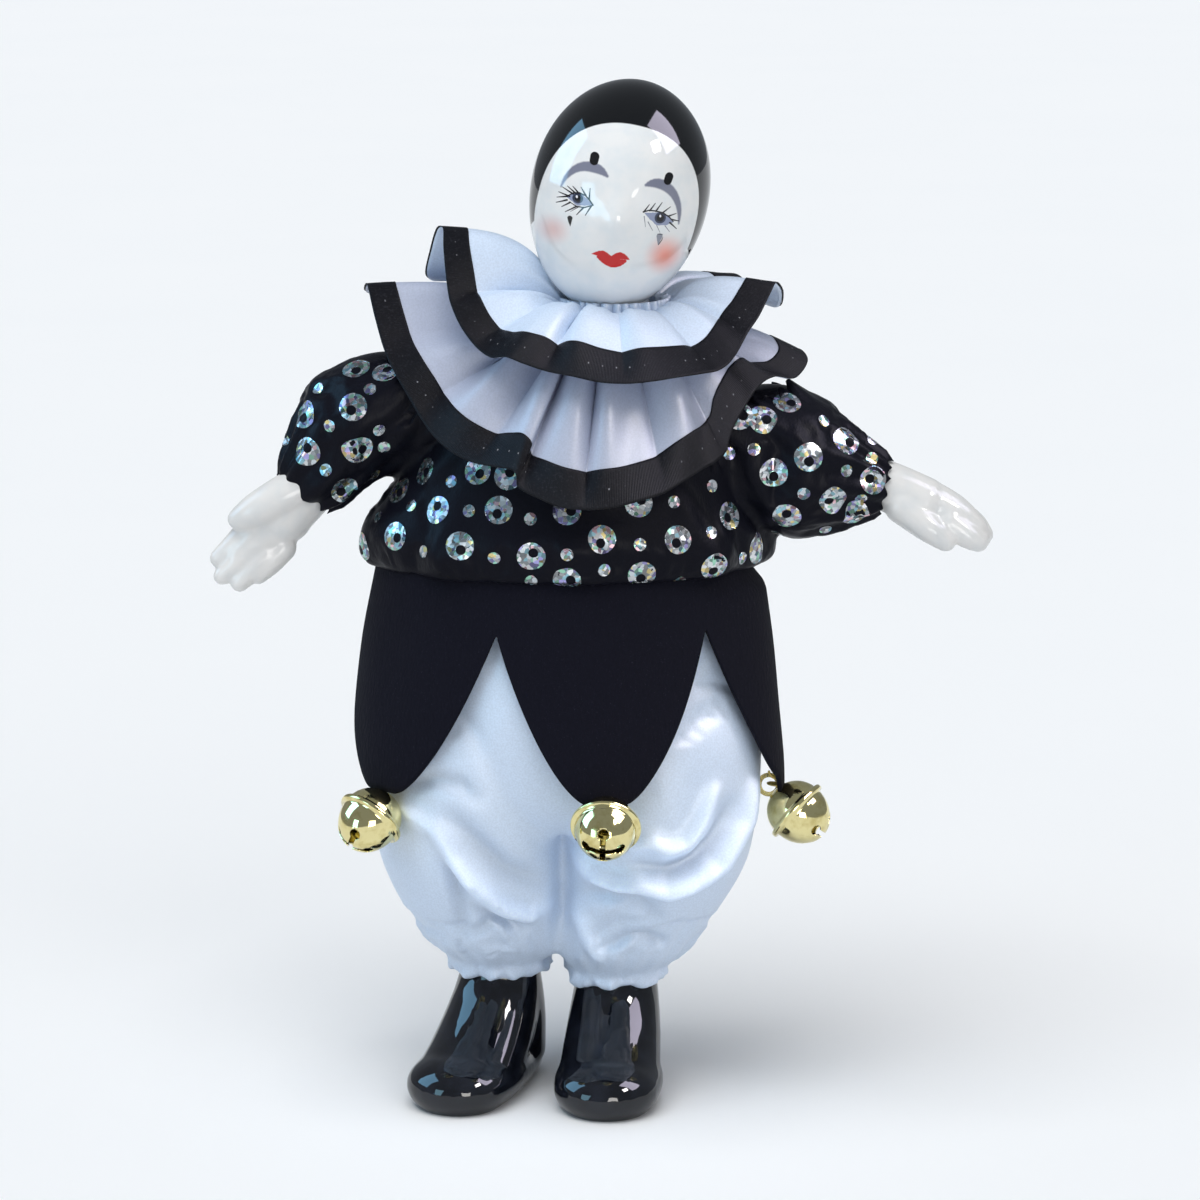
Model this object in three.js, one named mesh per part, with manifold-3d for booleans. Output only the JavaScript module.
// A white-faced clown doll that stands on its own boots: glazed head, hands and boots on a
// stuffed cloth body, with two stiff ruffs, a dotted blouse, a tabbed skirt and brass bells.
// Millimetres, +Z up, the face turned to -Y. The doll's own left is +X, the viewer's right.
import * as THREE from "three";
import { mergeVertices } from "three/addons/utils/BufferGeometryUtils.js";
import Module from "manifold-3d";

const wasm = await Module();
wasm.setup();

const v = (x, y, z) => new THREE.Vector3(x, y, z);
const rad = THREE.MathUtils.degToRad;
const mix = THREE.MathUtils.lerp;
const { sin, cos, max, min, abs, PI } = Math;

// Sizes
const gap = 0.35; // between pieces that touch
const ribbonWide = 6;
const clothThick = 0.9;
const ribbonThick = 0.5;

const head = { x: 4, y: -3, z: 197.2, wide: 37.6, deep: 40, tall: 49.4, roll: rad(13), turn: rad(4) };
const nose = { drop: 5.5, height: 1.4, spread: 2.6 };
const neck = { x: 3, y: -1.5, radius: 9.5, throat: 6.8, bottom: 155, top: 182 };

const torso = { x: -7, shoulderX: 2, hem: 118, top: 163.5, deepShare: 0.66 };
const waist = { x: -8, wide: 78, deep: 51, top: 122 };
const skirtSize = { bottomWide: 93.5, bottomDeep: 64, valley: 107.5, tip: 72, tabs: 5, thick: 1.2,
  leftHip: 3.2 };
const frontTabAngle = rad(-76.5);

const bell = { radius: 6.6, rim: 7.5, rimThick: 1.4, wall: 0.7, slot: 1.2, loop: 2.1, wire: 0.55 };

const shoe = { long: 43.5, wide: 23.4, heelWide: 15.5, toeTall: 10.5, vampTop: 23.5,
  shaftTop: 31, heelLong: 13, step: 2.2, tipHigh: 4.6, soleCut: 0.7 };
const feet = {
  boot_right: { x: -22.1, y: 4.7, out: rad(-24.5) },
  boot_left: { x: 3.6, y: 3, out: rad(-6) },
};
const shaftBack = 11.5; // from the back of the heel to the middle of the shaft

// A closed surface from rings of points; equal points make a pole, and round joins last to first.
function skin(rings, round = false) {
  const count = rings[0].length;
  const points = rings.flat();
  const faces = [];
  const last = round ? rings.length : rings.length - 1;
  for (let i = 0; i < last; i++) {
    const a = i * count;
    const b = ((i + 1) % rings.length) * count;
    for (let j = 0; j < count; j++) {
      const k = (j + 1) % count;
      faces.push(a + j, a + k, b + k, a + j, b + k, b + j);
    }
  }
  const geometry = new THREE.BufferGeometry().setFromPoints(points);
  geometry.setIndex(faces);
  return geometry;
}

function solid(geometry) {
  const bare = geometry.clone();
  bare.deleteAttribute("normal");
  bare.deleteAttribute("uv");
  const merged = mergeVertices(bare, 1e-3);
  return new wasm.Manifold(
    new wasm.Mesh({
      numProp: 3,
      vertProperties: merged.attributes.position.array,
      triVerts: new Uint32Array(merged.index.array),
    }),
  );
}

function reshaped(geometry, shape) {
  const at = geometry.getAttribute("position");
  for (let i = 0; i < at.count; i++) {
    const p = shape(v().fromBufferAttribute(at, i));
    at.setXYZ(i, p.x, p.y, p.z);
  }
  return geometry;
}

// A body turned about +Z from [radius, height] pairs that start and end on the axis.
function turned(profile, around, shape = (p) => p) {
  const lathe = new THREE.LatheGeometry(
    profile.map(([r, z]) => new THREE.Vector2(r, z)),
    around,
  );
  return reshaped(lathe.rotateX(PI / 2), shape);
}

function ball(x, y, z, a, b, c, around = 10) {
  const sphere = new THREE.SphereGeometry(1, around, around / 2).rotateX(PI / 2);
  return solid(sphere.scale(a, b, c).translate(x, y, z));
}

// A round-ended limb through stations of [x, y, z, radius].
function limb(stations, around = 12, along = 8, ripple = () => 1) {
  const curve = new THREE.CatmullRomCurve3(stations.map(([x, y, z]) => v(x, y, z)));
  const frames = curve.computeFrenetFrames(along);
  const radiusAt = (t) => {
    const place = t * (stations.length - 1);
    const i = min(Math.floor(place), stations.length - 2);
    return mix(stations[i][3], stations[i + 1][3], THREE.MathUtils.smoothstep(place - i, 0, 1));
  };
  const ring = (t, i, shrink, push) => {
    const r = radiusAt(t);
    const middle = curve.getPoint(t).addScaledVector(frames.tangents[i], push * r);
    return Array.from({ length: around }, (_, j) => {
      const angle = (2 * PI * j) / around;
      const reach = r * shrink * ripple(t, angle);
      return middle
        .clone()
        .addScaledVector(frames.normals[i], reach * cos(angle))
        .addScaledVector(frames.binormals[i], reach * sin(angle));
    });
  };
  const rings = [ring(0, 0, 0, -0.8), ring(0, 0, 0.7, -0.55)];
  for (let i = 0; i <= along; i++) rings.push(ring(i / along, i, 1, 0));
  rings.push(ring(1, along, 0.7, 0.55), ring(1, along, 0, 0.8));
  return solid(skin(rings));
}

const joined = (first, ...rest) => rest.reduce((sum, part) => sum.add(part), first);

// Head and neck, one glazed piece
function makeHead() {
  const steps = 12;
  const profile = [];
  for (let i = 0; i <= steps; i++) {
    const lift = -PI / 2 + (PI * i) / steps;
    const fuller = 1 + 0.04 * sin(lift) * cos(lift);
    profile.push([max(0, cos(lift) * fuller), sin(lift)]);
  }
  const egg = turned(profile, 20, (p) => {
    const q = v((p.x * head.wide) / 2, (p.y * head.deep) / 2, (p.z * head.tall) / 2);
    const off = q.x ** 2 + (q.z + nose.drop) ** 2;
    if (q.y < 0) q.y -= nose.height * Math.exp(-off / (2 * nose.spread ** 2));
    return q;
  });
  egg.rotateZ(head.turn).rotateY(head.roll).translate(head.x, head.y, head.z);
  const stem = turned(
    [
      [0, neck.bottom],
      [neck.radius, neck.bottom],
      [neck.throat, neck.top],
      [0, neck.top],
    ],
    20,
  ).translate(neck.x, neck.y, 0);
  return joined(solid(egg), solid(stem));
}

// Hands, each with a short forearm that sits in its cuff
function makeHandRight() {
  const fingers = [
    [-82.2, -7.5, 120.6],
    [-80.8, -8.6, 116.2],
    [-77, -9.2, 114.6],
    [-72.6, -9, 116.2],
  ];
  const roots = [
    [-75.5, -6.8, 125.6],
    [-73.6, -7.4, 123.4],
    [-71.4, -7.6, 121.6],
    [-69, -7.4, 120.8],
  ];
  const forearm = limb([[-56, -3.4, 142, 5.8], [-62, -4.4, 135.2, 6.1], [-68, -5.7, 128, 6.2]], 10, 3);
  const palm = ball(-71, -6.6, 125.4, 7.2, 4.6, 6.6);
  const thumb = limb([[-64.5, -6.5, 134.2, 3.4], [-70, -8, 132.2, 3.5], [-76.4, -8.3, 129.4, 2.6]], 7, 2);
  const made = fingers.map((tip, i) => limb([[...roots[i], 2.5], [...tip, 1.8]], 6, 1));
  return joined(forearm, palm, thumb, ...made);
}

function makeHandLeft() {
  const forearm = limb([[53, -3.1, 137.6, 5.3], [61, -4.3, 135.2, 5.5], [69, -5.5, 132, 5.5]], 10, 3);
  const palm = ball(72.5, -6.2, 130.4, 8.2, 4.8, 5.4);
  const thumb = limb([[67, -8.4, 130.2, 2.8], [71, -9.8, 126.8, 2.6], [74, -10.2, 124, 1.9]], 7, 2);
  const made = [0, 1, 2, 3].map((i) => {
    const root = [76.8 - 0.5 * i, -3.5 - 1.8 * i, 130.4 - 0.5 * i, 2.5];
    const bend = [80.2 - 0.6 * i, -4.2 - 1.7 * i, 127.8 - 0.7 * i, 2.4];
    const tip = [82.3 - 0.7 * i, -4.6 - 1.6 * i, 125 - 0.4 * i, 1.9];
    return limb([root, bend, tip], 6, 2);
  });
  return joined(forearm, palm, thumb, ...made);
}

// Boots: a round toe, a heel with a step before it, and a shaft that runs up into the trouser leg
function makeBoot({ x, y, out }) {
  const around = 16;
  const stations = 12;
  const toeRound = shoe.wide / 2 / shoe.long;
  const heelRound = shoe.heelWide / 2 / shoe.long;
  const rings = [];
  for (let i = 0; i <= stations; i++) {
    const fore = (1 - cos((PI * i) / stations)) / 2;
    const toward = max((fore - 1) / toeRound + 1, 1 - fore / heelRound, 0);
    const bulge = mix(shoe.heelWide, shoe.wide, THREE.MathUtils.smoothstep(fore, 0.2, 0.68));
    const half = (bulge / 2) * (1 - toward ** 2) ** 0.5;
    const heel = mix(13, shoe.vampTop, THREE.MathUtils.smoothstep(fore, 0.1, 0.5));
    const vamp = shoe.toeTall + (shoe.vampTop - shoe.toeTall) * (2 - 2 * fore) ** 2.2;
    const halfTall = (min(heel, vamp) / 2) * (1 - toward ** 3) ** 0.5;
    const middle = mix(min(heel, vamp) / 2, shoe.tipHigh, toward ** 2);
    const ring = [];
    for (let j = 0; j < around; j++) {
      const angle = (2 * PI * j) / around;
      const side = half * Math.sign(cos(angle)) * abs(cos(angle)) ** 0.8;
      const up = middle + halfTall * Math.sign(sin(angle)) * abs(sin(angle)) ** 0.8;
      ring.push(v(side, shaftBack - fore * shoe.long, up));
    }
    rings.push(ring);
  }
  const foot = solid(skin(rings));
  const shaft = turned(
    [
      [0, 5],
      [9.7, 5],
      [9.9, 13],
      [9.6, 19],
      [9.1, 25],
      [8.8, shoe.shaftTop],
      [0, shoe.shaftTop],
    ],
    16,
  );
  const archLong = 5;
  const archAt = shaftBack - shoe.heelLong - archLong / 2;
  const arch = solid(new THREE.BoxGeometry(40, archLong, 2 * shoe.step).translate(0, archAt, 0));
  const floor = solid(new THREE.BoxGeometry(80, 80, 10).translate(0, 0, shoe.soleCut - 5));
  const made = foot.add(solid(shaft)).subtract(floor).subtract(arch);
  return made.rotate([0, 0, (out * 180) / PI]).translate([x, y, -shoe.soleCut]);
}

// Torso and both puff sleeves, one garment
function torsoMiddle(z) {
  return mix(torso.x, torso.shoulderX, THREE.MathUtils.smoothstep(z, 128, torso.top));
}

function makeBlouse() {
  const profile = [
    [0, torso.hem],
    [42.4, torso.hem],
    [43.4, 119.5],
    [43.6, 122.5],
    [42.4, 127],
    [39.5, 132.5],
    [37, 139],
    [35, 147],
    [31, 155],
    [23, 160.5],
    [13, torso.top],
    [0, torso.top],
  ];
  const body = turned(profile, 28, (p) => {
    const angle = Math.atan2(p.y, p.x);
    const low = 1 - THREE.MathUtils.smoothstep(p.z, torso.hem, 140);
    const fold = 1 + 0.02 * low * cos(9 * angle + 0.8);
    return v(torsoMiddle(p.z) + p.x * fold, p.y * torso.deepShare * fold, p.z);
  });
  const gathers = (t, angle) => 1 + 0.05 * THREE.MathUtils.smoothstep(t, 0.55, 0.95) * cos(6 * angle);
  const sleeveRight = limb(
    [[-26, 0, 149, 11], [-41, -0.5, 151, 12.6], [-53.5, -2.5, 148, 12.8], [-59.6, -4.2, 138.6, 9]],
    14,
    8,
    gathers,
  );
  const sleeveLeft = limb(
    [[24, 0, 145.5, 11.5], [37, -0.5, 140.6, 15.8], [47, -2.5, 137.6, 14], [54.6, -4, 136.3, 8.9]],
    14,
    8,
    gathers,
  );
  const hollow = turned(
    [
      [0, 100],
      [waist.wide / 2 + 1.6, 100],
      [waist.wide / 2 + 1.6, waist.top + gap],
      [0, waist.top + gap],
    ],
    28,
    (p) => v(waist.x + p.x, (p.y * (waist.deep / 2 + 1.6)) / (waist.wide / 2 + 1.6), p.z),
  );
  const neckHole = turned(
    [
      [0, neck.bottom - gap],
      [neck.radius + gap, neck.bottom - gap],
      [neck.radius + gap, 190],
      [0, 190],
    ],
    20,
  ).translate(neck.x, neck.y, 0);
  let made = joined(solid(body), sleeveRight, sleeveLeft);
  for (const cut of [solid(hollow), solid(neckHole), ...cuffRooms()]) made = made.subtract(cut);
  return made;
}

// Sockets that leave room for a forearm in its cuff
const cuffRooms = () => [
  limb([[-53.6, -3.1, 144.8, 6.8], [-61.5, -4.3, 135.8, 7.2], [-72, -6.5, 123.5, 7.8]], 12, 4),
  limb([[50, -2.8, 138.6, 6.1], [61, -4.3, 135.2, 6.3], [75, -6.2, 129.5, 7.4]], 12, 4),
];

// Trousers: two full legs gathered over the ankles, with a frill below each elastic
function makeTrousers() {
  const legProfile = [
    [0, 24.6],
    [11.9, 24.6],
    [11.7, 26],
    [11.2, 27.6],
    [13.8, 29.6],
    [17, 34],
    [19.2, 41],
    [20.4, 50],
    [21.4, 60],
    [21.8, 72],
    [20.5, 86],
    [16, 98],
    [0, 102],
  ];
  const leg = (foot, kneeX, phase) =>
    turned(legProfile, 24, (p) => {
      const angle = Math.atan2(p.y, p.x);
      const gathered = 1 - THREE.MathUtils.smoothstep(p.z, 30, 58);
      const fold = 1 + 0.05 * gathered * cos(9 * angle + phase) + 0.012 * cos(5 * angle + p.z / 9);
      const climb = THREE.MathUtils.smoothstep(p.z, 24, 56);
      const deep = mix(1, 1.12, climb);
      const middle = v(mix(foot.x, kneeX, climb), mix(foot.y, 0, climb), p.z);
      const toContact = waist.x - middle.x;
      const reach = (abs(toContact) + 0.6) / max(1, Math.hypot(p.x, p.y));
      const inward = p.x * toContact > 0 ? THREE.MathUtils.smoothstep(p.z, 31, 36) : 0;
      const aside = mix(1, max(1, reach), inward);
      return middle.add(v(p.x * fold * aside, p.y * fold * deep, 0));
    });
  const hips = turned(
    [
      [0, 60],
      [24, 61],
      [36, 70],
      [41, 84],
      [40.5, 98],
      [38.5, 110],
      [35, waist.top - 5],
      [0, waist.top - 5],
    ],
    24,
    (p) => v(waist.x + p.x, p.y * 0.62, p.z),
  );
  const ankleRoom = ({ x, y }) =>
    solid(
      turned(
        [
          [0, 15],
          [10.4, 15],
          [10, 19],
          [9.5, 25],
          [9.2, shoe.shaftTop + gap],
          [0, shoe.shaftTop + gap],
        ],
        16,
      ).translate(x, y, 0),
    );
  const whole = joined(
    solid(leg(feet.boot_right, -28.3, 0)),
    solid(leg(feet.boot_left, 12.8, 1.3)),
    solid(hips),
  );
  return whole.subtract(ankleRoom(feet.boot_right)).subtract(ankleRoom(feet.boot_left));
}

// Skirt: one felt sheet cut into pointed tabs, equal along its girth
const skirtA = skirtSize.bottomWide / 2;
const skirtB = skirtSize.bottomDeep / 2;
const evenness = (skirtA ** 2 - skirtB ** 2) / (4 * (skirtA ** 2 + skirtB ** 2));
const tabAngle = (angle) => angle - evenness * sin(2 * angle) - frontTabAngle;

function tabDrop(angle) {
  const turn = (tabAngle(angle) * skirtSize.tabs) / (2 * PI);
  const off = 2 * abs(turn - Math.round(turn));
  return mix(skirtSize.tip, skirtSize.valley, max(0, (off - 0.16) / 0.84) ** 1.5);
}

function skirtPoint(angle, z, lift) {
  const fall = sin((PI / 2) * ((waist.top - z) / (waist.top - skirtSize.tip)) ** 1.1);
  const wave = 0.7 * fall * cos(skirtSize.tabs * tabAngle(angle));
  const underHem = 1 - THREE.MathUtils.smoothstep(z, 112, torso.hem - 0.2);
  const hip = skirtSize.leftHip * underHem * (1 - fall) * max(0, cos(angle));
  const a = mix(waist.wide / 2, skirtA, fall) + wave + lift + hip;
  const b = mix(waist.deep / 2, skirtB, fall) + wave + lift;
  return v(waist.x + a * cos(angle), b * sin(angle), z);
}

function makeSkirt() {
  const around = 70;
  const shares = [0, 0.08, 0.18, 0.5, 1];
  const rings = [];
  for (let i = 0; i < around; i++) {
    const angle = (2 * PI * i) / around;
    const bottom = tabDrop(angle);
    const heights = shares.map((share) => mix(waist.top, bottom, share));
    const inner = heights.map((z) => skirtPoint(angle, z, -skirtSize.thick)).reverse();
    const outer = heights.map((z) => skirtPoint(angle, z, 0));
    rings.push([...outer, ...inner]);
  }
  return solid(skin(rings, true));
}

// Ruffs: a stiff gathered collar runs from a ring round the neck out to a rim that dips in
// front and stands up at its corners, with a puff of gathers next to the neck. Its rim goes
// through these places, from the front round by the doll's left.
const upperRuff = {
  ring: { radius: 12, z: 171.5 },
  puff: 3.8,
  pleats: 13,
  swell: 1.3,
  fall: 1.2,
  rim: [
    v(4, -31, 161.5),
    v(16, -27, 162.8),
    v(25, -19, 165.5),
    v(33, -10, 171),
    v(38.5, 1, 176),
    v(28, 21, 178),
    v(5, 30, 178.5),
    v(-18, 22, 183),
    v(-34.5, -2, 190),
    v(-31.5, -10, 177.5),
    v(-23, -20, 165.3),
    v(-10, -28, 162.5),
  ],
};
const lowerRuff = {
  ring: { radius: 12, z: 166 },
  puff: 2.5,
  pleats: 15,
  swell: 1.5,
  fall: 1.35,
  rim: [
    v(-2, -34, 136),
    v(9, -32, 138.5),
    v(20, -26, 143.5),
    v(27, -18, 155),
    v(42.5, -3, 162.5),
    v(33, 22, 167),
    v(4, 33, 165),
    v(-28, 24, 171),
    v(-48.5, -2, 176),
    v(-43.5, -12, 163.5),
    v(-34, -20, 149),
    v(-17, -29, 144),
  ],
};

function ruffPoint({ ring, puff, pleats, swell, fall, rim }, s, t, lift) {
  const edge = new THREE.CatmullRomCurve3(rim, true).getPoint(t);
  const angle = Math.atan2(edge.y - neck.y, edge.x - neck.x);
  const inner = v(neck.x + ring.radius * cos(angle), neck.y + ring.radius * sin(angle), 0);
  const p = inner.lerp(edge, s);
  const pleat = swell * s * cos(2 * PI * pleats * t);
  p.z = mix(ring.z, edge.z, s ** fall) + puff * sin(PI * s ** 0.6) + pleat + lift;
  return p;
}

function ruffBand(ruff, from, floor, roof, around = 60, rows = 3) {
  const rings = [];
  for (let i = 0; i < around; i++) {
    const t = i / around;
    const start = from(t);
    const steps = Array.from({ length: rows + 1 }, (_, j) => mix(start, 1, (j / rows) ** 1.3));
    const under = steps.map((s) => ruffPoint(ruff, s, t, floor)).reverse();
    rings.push([...under, ...steps.map((s) => ruffPoint(ruff, s, t, roof))]);
  }
  return solid(skin(rings, true));
}

const makeRuff = (ruff) => ruffBand(ruff, () => 0, -clothThick, 0);

function makeRibbon(ruff) {
  const from = (t) => {
    const width = ruffPoint(ruff, 1, t, 0).distanceTo(ruffPoint(ruff, 0, t, 0));
    return 1 - ribbonWide / width;
  };
  return ruffBand(ruff, from, gap, gap + ribbonThick, 60, 1);
}

// Bells: two thin cups crimped at a rim, cross slots below and a wire loop above
function makeBell({ x, y, z, turn }) {
  const around = 10;
  const cup = (radius, steps) =>
    Array.from({ length: steps + 1 }, (_, i) => {
      const lift = -PI / 2 + (PI * i) / steps;
      return [max(0, radius * cos(lift)), radius * sin(lift)];
    });
  const rim = turned(
    [
      [0, -bell.rimThick / 2],
      [bell.rim, -bell.rimThick / 2],
      [bell.rim, bell.rimThick / 2],
      [0, bell.rimThick / 2],
    ],
    around,
  );
  const outer = solid(turned(cup(bell.radius, 6), around)).add(solid(rim));
  const inner = solid(turned(cup(bell.radius - bell.wall - 0.15, 4), 7));
  const slotLong = 2 * bell.radius * sin(rad(62));
  const slotBox = (long, wide) => solid(new THREE.BoxGeometry(long, wide, 10).translate(0, 0, -7.9));
  const loopGeometry = new THREE.TorusGeometry(bell.loop, bell.wire, 4, 7).rotateX(PI / 2);
  const loop = solid(loopGeometry.translate(0, 0, bell.radius + bell.loop - 0.3));
  const cross = slotBox(slotLong, bell.slot).add(slotBox(bell.slot, slotLong));
  return joined(outer, loop).subtract(inner).subtract(cross).rotate([0, 0, turn]).translate([x, y, z]);
}

const brass = () => new THREE.MeshStandardMaterial({ color: "#c9a24a", roughness: 0.25, metalness: 1 });
const porcelain = (color) => new THREE.MeshStandardMaterial({ color, roughness: 0.15, metalness: 0 });
const satin = (color) => new THREE.MeshStandardMaterial({ color, roughness: 0.45, metalness: 0 });
const felt = (color) => new THREE.MeshStandardMaterial({ color, roughness: 0.95, metalness: 0 });

// The geometry of a solid, for a mesh
function geometryOf(body) {
  const { vertProperties, triVerts } = body.getMesh();
  const geometry = new THREE.BufferGeometry();
  geometry.setAttribute("position", new THREE.BufferAttribute(vertProperties, 3));
  geometry.setIndex(new THREE.BufferAttribute(triVerts, 1));
  geometry.computeVertexNormals();
  return geometry;
}

const group = new THREE.Group();
group.name = "clown_doll";

function piece(name, body, material) {
  const mesh = new THREE.Mesh(geometryOf(body), material);
  mesh.name = name;
  group.add(mesh);
}

piece("head", makeHead(), porcelain("#f2efe9"));
piece("hand_right", makeHandRight(), porcelain("#f2efe9"));
piece("hand_left", makeHandLeft(), porcelain("#f2efe9"));
piece("ruff_upper", makeRuff(upperRuff), satin("#eceae6"));
piece("ruff_upper_ribbon", makeRibbon(upperRuff), satin("#111113"));
piece("ruff_lower", makeRuff(lowerRuff), satin("#eceae6"));
piece("ruff_lower_ribbon", makeRibbon(lowerRuff), satin("#111113"));
piece("blouse", makeBlouse(), satin("#151518"));
piece("skirt", makeSkirt(), felt("#0e0e0f"));
piece("trousers", makeTrousers(), satin("#eceae6"));
for (const [name, foot] of Object.entries(feet)) piece(name, makeBoot(foot), porcelain("#0d0d0f"));

// How far each bell hangs from the even place below its tab: across, and up or down
const bellSway = {
  bell_front: [-1, 1],
  bell_left: [-1.2, -2.8],
  bell_back_left: [0, 0],
  bell_back_right: [0, 0],
  bell_right: [0.8, 0.5],
};
Object.entries(bellSway).forEach(([name, [across, up]], i) => {
  const even = frontTabAngle + (2 * PI * i) / skirtSize.tabs;
  const angle = even + evenness * sin(2 * even);
  const hang = skirtPoint(angle, skirtSize.tip, bell.radius * 0.3 + 2.8);
  const turn = (angle * 180) / PI + 90;
  const drop = bell.radius - 0.6 - up;
  piece(name, makeBell({ x: hang.x + across, y: hang.y, z: hang.z - drop, turn }), brass());
});

// The middle of the whole doll's underside becomes the origin.
const box = new THREE.Box3().setFromObject(group);
const middle = box.getCenter(v());
group.position.set(-middle.x, -middle.y, -box.min.z);

export default group;
